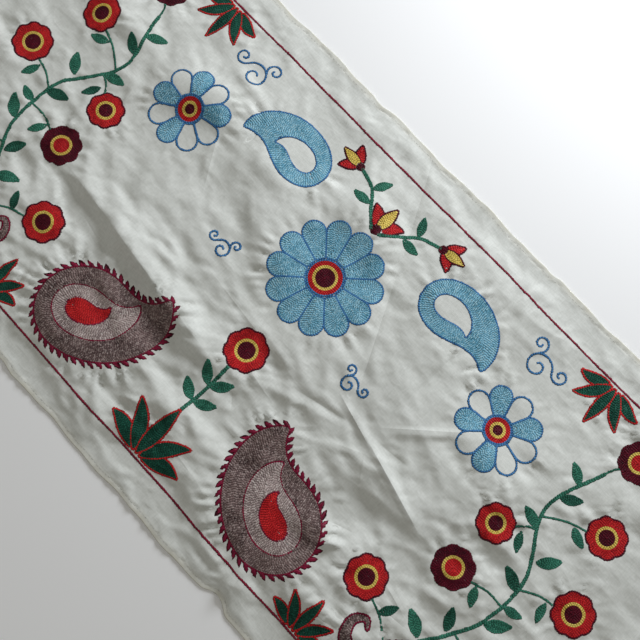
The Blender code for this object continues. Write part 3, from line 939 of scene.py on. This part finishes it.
def border(work):
    """One line of burgundy chain stitch all round, a little unsteady."""
    ends = corners(BORDER_INSET)
    loop = resampled(ends, BORDER_STEP, True)
    travel = np.arange(len(loop)) * BORDER_STEP
    waver = sum(size * np.sin(travel / length + phase) for size, length, phase in BORDER_WAVES)
    loop = loop * (1.0 + (waver / WIDTH)[:, None])
    work.row("border", loop, True, BORDER_LINK)
    for start, end in zip(ends, np.roll(ends, -1, axis=0)):
        work.pull(np.array((start, end)), 0.35, False)


def hem_stitches(work):
    """The hem's line of small off-white stitches."""
    stops = resampled(corners(HEM_STITCH_INSET), HEM_STITCH_PITCH, True)
    ends = stops + HEM_STITCH_SHARE * (np.roll(stops, -1, axis=0) - stops)
    work.links["hem"] = [np.column_stack((stops, ends, np.full(len(stops), HEM_STITCH_WIDTH)))]


def all_needlework():
    work = Needlework()
    border(work)
    hem_stitches(work)
    middle_group(work)
    for side in (-1, 1):
        vine(work, side)
        for motif, spots in PAIRED:
            for spot in spots:
                motif(work, mirrored(side, (spot.x, spot.y)), spot.size, spot.turn, side)
    return work


# Meshes

# One loop of chain stitch: place along the link and across it, both as shares, and height as a share
LOOP = np.array((
    (-0.30, 0.00, 0.0), (0.24, 0.60, 0.0), (1.10, 0.52, 0.0), (1.10, -0.52, 0.0), (0.24, -0.60, 0.0),
    (0.16, 0.00, 0.75), (0.88, 0.00, 1.0),
))
LOOP_FACES = np.array((
    (0, 5, 1), (1, 5, 6), (1, 6, 2), (2, 6, 3), (3, 6, 4), (4, 6, 5), (4, 5, 0),
    (0, 1, 2), (0, 2, 3), (0, 3, 4),
))


def mesh_object(name, vertices, faces, material):
    """A mesh object of triangles, shaded smooth."""
    mesh = bpy.data.meshes.new(name)
    mesh.vertices.add(len(vertices))
    mesh.vertices.foreach_set("co", np.ascontiguousarray(vertices, np.float32).ravel())
    mesh.loops.add(faces.size)
    mesh.loops.foreach_set("vertex_index", np.ascontiguousarray(faces, np.int32).ravel())
    mesh.polygons.add(len(faces))
    mesh.polygons.foreach_set("loop_start", np.arange(0, faces.size, 3, dtype=np.int32))
    mesh.update(calc_edges=True)
    mesh.validate()
    mesh.shade_smooth()
    mesh.materials.append(material)
    piece = bpy.data.objects.new(name, mesh)
    bpy.context.scene.collection.objects.link(piece)
    return piece


def add_uv(piece, places):
    """A UV map from one (u, v) a vertex."""
    mesh = piece.data
    layer = mesh.uv_layers.new(name="thread")
    index = np.empty(len(mesh.loops), np.int32)
    mesh.loops.foreach_get("vertex_index", index)
    layer.data.foreach_set("uv", np.ascontiguousarray(places[index], np.float32).ravel())


def thread_piece(name, links, surface, material, height, rng):
    """All loops of one thread as a joined mesh of closed drops that lie on the cloth."""
    count = len(links)
    start = links[:, 0:2]
    run = links[:, 2:4] - start
    length = np.hypot(*run.T)
    along = run / length[:, None]
    aside = left_of(run)
    width = links[:, 4] * rng.uniform(0.86, 1.12, count)
    swing = rng.normal(0.0, 0.05, count)
    lift = height * rng.uniform(0.8, 1.15, count)
    u = LOOP[None, :, 0] * length[:, None]
    v = LOOP[None, :, 1] * width[:, None] + u * swing[:, None]
    flat = start[:, None] + along[:, None] * u[..., None] + aside[:, None] * v[..., None]
    up = LOOP[None, :, 2] * (lift[:, None] + THREAD_SINK) - THREAD_SINK
    flat = flat.reshape(-1, 2)
    vertices = np.column_stack((wandered(flat), surface.height(flat) + up.ravel()))
    faces = (LOOP_FACES[None] + len(LOOP) * np.arange(count)[:, None, None]).reshape(-1, 3)
    piece = mesh_object(name, vertices, faces, material)
    add_uv(piece, np.tile(LOOP[:, :2] + (0.0, 0.5), (count, 1)))
    return piece


def panel_faces(rows, columns, offset, upward):
    """Triangles of a grid of points stored row by row."""
    a = (np.arange(rows - 1)[:, None] * columns + np.arange(columns - 1)[None, :]).ravel() + offset
    b, c, d = a + columns, a + columns + 1, a + 1
    faces = np.concatenate((np.column_stack((a, b, c)), np.column_stack((a, c, d))))
    return faces if upward else faces[:, ::-1]


def coarse_lines(count):
    """Indices of the grid lines that the underside keeps: every third on the hems, then every second."""
    hem = len(HEM_LINES)
    low, inner, high = range(0, hem, 3), range(hem, count - hem, 2), range(count - hem, count, 3)
    return np.unique([*low, *inner, *high, count - 1])


def cloth_panel(surface, material):
    """The cloth as a closed sheet: a fine top, and an underside of the same grid's points."""
    rows, columns = len(surface.x), len(surface.y)
    flat = wandered(surface.flat)
    top = np.column_stack((flat, surface.top))
    under = np.column_stack((flat, surface.low))
    keep_x = coarse_lines(rows)
    keep_y = coarse_lines(columns)
    index = np.arange(rows * columns).reshape(rows, columns)
    kept = index[np.ix_(keep_x, keep_y)]
    low = under[kept.ravel()]
    faces = [panel_faces(rows, columns, 0, True)]
    faces.append(panel_faces(len(keep_x), len(keep_y), rows * columns, False))
    low_index = np.arange(kept.size).reshape(kept.shape) + rows * columns
    faces.append(rim_faces(index[:, 0], low_index[:, 0], keep_x, False))
    faces.append(rim_faces(index[:, -1], low_index[:, -1], keep_x, True))
    faces.append(rim_faces(index[0, :], low_index[0, :], keep_y, True))
    faces.append(rim_faces(index[-1, :], low_index[-1, :], keep_y, False))
    piece = mesh_object("cotton_panel", np.concatenate((top, low)), np.concatenate(faces), material)
    add_uv(piece, np.concatenate((surface.flat, surface.flat[kept.ravel()])))
    return piece


def rim_faces(upper, lower, kept, flip):
    """Triangles between the top's edge and the underside's edge, which has only the kept points."""
    faces = []
    for i in range(len(kept) - 1):
        first, last = kept[i], kept[i + 1]
        for k in range(first, last):
            faces.append((upper[k], lower[i], upper[k + 1]))
        faces.append((upper[last], lower[i], lower[i + 1]))
    faces = np.array(faces)
    return faces[:, ::-1] if flip else faces


# Materials

def new_material(name):
    material = bpy.data.materials.new(name)
    material.use_nodes = True
    tree = material.node_tree
    return material, tree, tree.nodes["Principled BSDF"]


def join(tree, value, socket):
    """Feeds an input from another node's output, or sets it to a plain value."""
    if isinstance(value, bpy.types.NodeSocket):
        tree.links.new(value, socket)
    else:
        socket.default_value = (*value, 1.0) if socket.type == "RGBA" else value


def add_node(tree, kind, **values):
    """A node with its inputs or properties set by name."""
    node = tree.nodes.new(kind)
    for name, value in values.items():
        if name in node.inputs:
            join(tree, value, node.inputs[name])
        else:
            setattr(node, name, value)
    return node


def math_node(tree, operation, *values):
    """A math node's result, from sockets or numbers."""
    node = add_node(tree, "ShaderNodeMath", operation=operation)
    for value, socket in zip(values, node.inputs):
        join(tree, value, socket)
    return node.outputs[0]


def vector_node(tree, operation, a, b, output):
    """A vector math node on a socket and a plain (x, y)."""
    node = add_node(tree, "ShaderNodeVectorMath", operation=operation)
    join(tree, a, node.inputs[0])
    join(tree, (b[0], b[1], 0.0), node.inputs[1])
    return node.outputs[output]


def clamped(socket):
    """The same socket, kept between 0 and 1 by its node."""
    socket.node.use_clamp = True
    return socket


def noise_node(tree, place, scale, detail):
    return add_node(tree, "ShaderNodeTexNoise", Vector=place, Scale=scale, Detail=detail).outputs["Fac"]


def ramp(tree, factor, stops):
    """A colour ramp through (place, colour) stops."""
    node = add_node(tree, "ShaderNodeValToRGB", Fac=factor)
    elements = node.color_ramp.elements
    elements[0].position, elements[0].color = stops[0][0], (*stops[0][1], 1.0)
    elements[1].position, elements[1].color = stops[-1][0], (*stops[-1][1], 1.0)
    for place, colour in stops[1:-1]:
        elements.new(place).color = (*colour, 1.0)
    return node.outputs["Color"]


def grey_ramp(tree, factor, *stops):
    """A ramp through (place, brightness) stops."""
    return ramp(tree, factor, [(place, (level, level, level)) for place, level in stops])


def mix_colour(tree, factor, a, b, blend="MIX"):
    node = add_node(tree, "ShaderNodeMix", data_type="RGBA", blend_type=blend, Factor=factor, A=a, B=b)
    return node.outputs["Result"]


def mixed(a, b, share):
    return tuple(x * (1.0 - share) + y * share for x, y in zip(a, b))


def bump_normal(tree, height, strength, distance, **below):
    """The normal of a bump, on top of the normal below it where one is given."""
    node = add_node(tree, "ShaderNodeBump", Height=height, Strength=strength, Distance=distance, **below)
    return node.outputs["Normal"]


def set_surface(tree, shader, colour, normal, roughness, specular, sheen, sheen_roughness):
    """The shader's colour and normal from nodes, and its plain values."""
    join(tree, colour, shader.inputs["Base Color"])
    join(tree, normal, shader.inputs["Normal"])
    shader.inputs["Roughness"].default_value = roughness
    shader.inputs["Specular IOR Level"].default_value = specular
    shader.inputs["Sheen Weight"].default_value = sheen
    shader.inputs["Sheen Roughness"].default_value = sheen_roughness


def thread_material(name, thread):
    """Stranded thread: every loop has its own tone, a groove between its strands, painted shade in that
    groove, along its sides and at its ends, and a soft sheen.
    """
    material, tree, shader = new_material(name)
    place = tree.nodes.new("ShaderNodeTexCoord").outputs["Object"]
    island = tree.nodes.new("ShaderNodeNewGeometry").outputs["Random Per Island"]
    tones = [(0.0, thread.dark), (0.30, thread.middle), (0.72, thread.middle), (1.0, thread.light)]
    patch_dark = mixed(thread.dark, thread.middle, 0.35)
    patch_light = mixed(thread.middle, thread.light, 0.5)
    patch = ramp(tree, noise_node(tree, place, 55.0, 3.0), [(0.36, patch_dark), (0.56, patch_light)])
    colour = mix_colour(tree, 0.45, ramp(tree, island, tones), patch)
    if thread.fleck:
        flecks = grey_ramp(tree, noise_node(tree, place, 430.0, 2.0), (0.50, 0.0), (0.64, 0.7))
        colour = mix_colour(tree, flecks, colour, thread.fleck)
    uv = add_node(tree, "ShaderNodeUVMap", uv_map="thread").outputs["UV"]
    split = add_node(tree, "ShaderNodeSeparateXYZ", Vector=uv)
    along = split.outputs["X"]
    off_middle = math_node(tree, "ABSOLUTE", math_node(tree, "SUBTRACT", split.outputs["Y"], 0.5))
    # Painted shade: each loop's colour is darkened a little in the groove down its middle and strongly along
    # its sides
    sides = grey_ramp(tree, off_middle, (0.0, 0.74), (0.10, 1.0), (0.24, 1.0), (0.44, 0.24))
    # Painted shade: each loop's colour is darker at both of its ends
    ends = grey_ramp(tree, along, (0.0, 0.50), (0.26, 1.0), (0.80, 1.0), (1.0, 0.55))
    for shade in (sides, ends):
        colour = mix_colour(tree, 1.0, colour, shade, "MULTIPLY")

    groove = math_node(tree, "MINIMUM", math_node(tree, "MULTIPLY", off_middle, 5.0), 1.0)
    twist_along = math_node(tree, "MULTIPLY", along, 16.0)
    twist_across = math_node(tree, "MULTIPLY", off_middle, 22.0)
    twist = math_node(tree, "SINE", math_node(tree, "ADD", twist_along, twist_across))
    relief = math_node(tree, "ADD", groove, math_node(tree, "MULTIPLY", twist, 0.25))
    normal = bump_normal(tree, relief, 0.55, 0.0002)
    set_surface(tree, shader, colour, normal, 0.48, 0.15, 0.02, 0.45)
    return material


def crease_relief(tree, place, crease):
    """Height in metres that one crisp crease adds at a place on the flat cloth."""
    run = np.array(crease.end) - np.array(crease.start)
    length = np.hypot(*run)
    along, left = run / length, np.array((-run[1], run[0])) / length
    from_start = vector_node(tree, "SUBTRACT", place, crease.start, "Vector")
    share = vector_node(tree, "DOT_PRODUCT", from_start, along / length, "Value")
    offset = vector_node(tree, "DOT_PRODUCT", from_start, left / crease.reach, "Value")
    to_end = math_node(tree, "MINIMUM", share, math_node(tree, "SUBTRACT", 1.0, share))
    fade = clamped(math_node(tree, "MULTIPLY", to_end, 1.0 / CREASE_FADE))
    near = clamped(math_node(tree, "SUBTRACT", 1.0, math_node(tree, "ABSOLUTE", offset)))
    profile = math_node(tree, "MULTIPLY", math_node(tree, "POWER", near, 1.6), crease.height)
    return math_node(tree, "MULTIPLY", profile, fade)


def edge_warmth(tree, place):
    """How near a place on the flat cloth is to the edge: 1 on the hem, 0 in the field."""
    split = add_node(tree, "ShaderNodeSeparateXYZ", Vector=place)
    beyond = []
    for socket, half in zip((split.outputs["X"], split.outputs["Y"]), HALF):
        past = math_node(tree, "SUBTRACT", math_node(tree, "ABSOLUTE", socket), half - STAIN_WIDTH)
        beyond.append(math_node(tree, "MULTIPLY", past, 1.0 / STAIN_WIDTH))
    return clamped(math_node(tree, "MAXIMUM", *beyond))


def cotton_material():
    """Off-white plain weave with slubs, crisp creases, faint mottling and a soft, dry surface."""
    material, tree, shader = new_material("cotton")
    place = add_node(tree, "ShaderNodeUVMap", uv_map="thread").outputs["UV"]

    def stretched(scale_x, scale_y, size, detail, turn=0.0):
        """Noise drawn out along the warp or the weft, or along a line turned from them."""
        mapping = add_node(tree, "ShaderNodeMapping", Vector=place, Scale=(scale_x, scale_y, 1.0),
                           Rotation=(0.0, 0.0, math.radians(turn)))
        return noise_node(tree, mapping.outputs["Vector"], size, detail)

    def crossed(wide, narrow, share):
        """A share of the threads of both directions."""
        both = math_node(tree, "ADD", stretched(wide, narrow, 1.0, 2.0), stretched(narrow, wide, 1.0, 2.0))
        return math_node(tree, "MULTIPLY", both, share)

    weave = math_node(tree, "ADD", crossed(60.0, 1500.0, 0.4), crossed(150.0, 560.0, 0.6))
    mottle = stretched(1.0, 1.0, 26.0, 4.0)
    base = ramp(tree, mottle, [(0.30, (0.700, 0.712, 0.672)), (0.70, (0.760, 0.772, 0.735))])
    grain = ramp(tree, math_node(tree, "MULTIPLY", weave, 0.5),
                 [(0.38, (0.84, 0.845, 0.835)), (0.62, (1.0, 1.0, 1.0))])
    colour = mix_colour(tree, 1.0, base, grain, "MULTIPLY")
    stain = math_node(tree, "MULTIPLY", edge_warmth(tree, place), stretched(1.0, 1.0, 90.0, 3.0))
    colour = mix_colour(tree, stain, colour, (0.60, 0.56, 0.44))

    relief = crease_relief(tree, place, CRISP_CREASES[0])
    for crease in CRISP_CREASES[1:]:
        relief = math_node(tree, "ADD", relief, crease_relief(tree, place, crease))
    for scale_x, scale_y, turn, height in ((30.0, 62.0, 14.0, 0.0008), (70.0, 105.0, -30.0, 0.00025)):
        off_middle = math_node(tree, "SUBTRACT", stretched(scale_x, scale_y, 1.0, 1.0, turn), 0.5)
        ridge = math_node(tree, "MULTIPLY", math_node(tree, "ABSOLUTE", off_middle), height)
        relief = math_node(tree, "SUBTRACT", relief, ridge)
    creased = bump_normal(tree, relief, 1.0, 1.0)
    normal = bump_normal(tree, weave, 0.35, 0.0003, Normal=creased)
    set_surface(tree, shader, colour, normal, 0.88, 0.22, 0.12, 0.6)
    return material


def floor_material():
    material, tree, shader = new_material("studio_floor")
    join(tree, (0.95, 0.95, 0.95), shader.inputs["Base Color"])
    join(tree, 0.85, shader.inputs["Roughness"])
    return material


# Every thread: the record's slot, its light, middle and dark tones, and the colour of its flecks
Thread = namedtuple("Thread", "slot light middle dark fleck", defaults=(None,))
THREADS = {
    "blue_light": Thread("thread_blue", (0.38, 0.68, 0.82), (0.20, 0.50, 0.68), (0.05, 0.24, 0.34),
                         (0.46, 0.74, 0.84)),
    "blue_mid": Thread("thread_blue", (0.10, 0.30, 0.58), (0.055, 0.20, 0.45), (0.02, 0.10, 0.26)),
    "mauve": Thread("thread_mauve", (0.40, 0.29, 0.275), (0.180, 0.117, 0.111), (0.045, 0.024, 0.025),
                    (0.50, 0.40, 0.375)),
    "mauve_pale": Thread("thread_mauve", (0.66, 0.54, 0.51), (0.43, 0.335, 0.32), (0.14, 0.092, 0.092),
                         (0.74, 0.65, 0.61)),
    "burgundy": Thread("thread_burgundy", (0.32, 0.015, 0.06), (0.21, 0.006, 0.034), (0.09, 0.003, 0.015)),
    "border": Thread("thread_burgundy", (0.36, 0.018, 0.055), (0.25, 0.011, 0.036), (0.10, 0.005, 0.016)),
    "red": Thread("thread_red", (0.78, 0.035, 0.035), (0.60, 0.014, 0.018), (0.30, 0.006, 0.010)),
    "red_dark": Thread("thread_burgundy", (0.17, 0.005, 0.022), (0.090, 0.002, 0.013), (0.035, 0.001, 0.006)),
    "yellow": Thread("thread_yellow", (0.95, 0.78, 0.22), (0.86, 0.64, 0.13), (0.55, 0.34, 0.05)),
    "green_dark": Thread("thread_green", (0.02, 0.15, 0.10), (0.007, 0.078, 0.05), (0.002, 0.028, 0.018)),
    "green_leaf": Thread("thread_green", (0.07, 0.30, 0.20), (0.032, 0.18, 0.118), (0.008, 0.07, 0.044)),
    "green_leaf_dark": Thread("thread_green", (0.04, 0.19, 0.125), (0.017, 0.11, 0.072),
                              (0.005, 0.045, 0.028)),
    "hem": Thread("cotton", (0.78, 0.79, 0.75), (0.70, 0.71, 0.67), (0.50, 0.51, 0.48)),
}


# Studio

def studio_floor():
    """A plain pale floor under the cloth."""
    square = np.array(((-1, -1, 0), (1, -1, 0), (1, 1, 0), (-1, 1, 0))) * FLOOR_SIZE / 2
    corners = square - (0.0, 0.0, FLOOR_DROP)
    floor = mesh_object("studio_floor", corners, np.array(((0, 1, 2), (0, 2, 3))), floor_material())


def area_light(name, place, size, power, colour):
    """A square light that shines at the middle of the cloth."""
    data = bpy.data.lights.new(name, "AREA")
    data.shape = "SQUARE"
    data.size = size
    data.energy = power
    data.color = colour
    lamp = bpy.data.objects.new(name, data)
    lamp.location = place
    lamp.rotation_euler = (-Vector(place)).to_track_quat("-Z", "Y").to_euler()
    bpy.context.scene.collection.objects.link(lamp)


def studio_light():
    """A soft, slightly cool key from the far long side, a weak fill and a pale, warmer surround."""
    area_light("key", (-0.02, 1.30, 0.56), 0.5, 20.6, (0.91, 0.947, 1.0))
    area_light("fill", (-0.8, -1.2, 1.9), 1.6, 4.0, (1.0, 1.0, 1.0))
    world = bpy.data.worlds.new("surround")
    world.use_nodes = True
    background = world.node_tree.nodes["Background"]
    background.inputs["Color"].default_value = (1.0, 0.974, 0.89, 1.0)
    background.inputs["Strength"].default_value = 0.239
    bpy.context.scene.world = world


def photo_camera():
    data = bpy.data.cameras.new("camera")
    data.lens = CAMERA_LENS
    data.sensor_width = CAMERA_SENSOR
    data.clip_start = 0.01
    camera = bpy.data.objects.new("camera", data)
    camera.location = CAMERA_PLACE
    camera.rotation_euler = Euler([math.radians(angle) for angle in CAMERA_TURN], "XYZ")
    bpy.context.scene.collection.objects.link(camera)
    bpy.context.scene.camera = camera


def build():
    photo_camera()
    studio_light()
    studio_floor()
    work = all_needlework()
    surface = Surface(work.pulls)
    panel = cloth_panel(surface, cotton_material())
    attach(panel, "root")
    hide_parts("cloth")
    rng = np.random.default_rng(SEED)
    for name, thread in THREADS.items():
        links = np.concatenate(work.links[name])
        material = thread_material("thread_" + name, thread)
        height = THREAD_HEIGHT * (HEM_THREAD_SHARE if name == "hem" else 1.0)
        piece = thread_piece("stitches_" + name, links, surface, material, height, rng)
        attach(piece, "root")


build()
bpy.context.scene.view_settings.view_transform = "Standard"
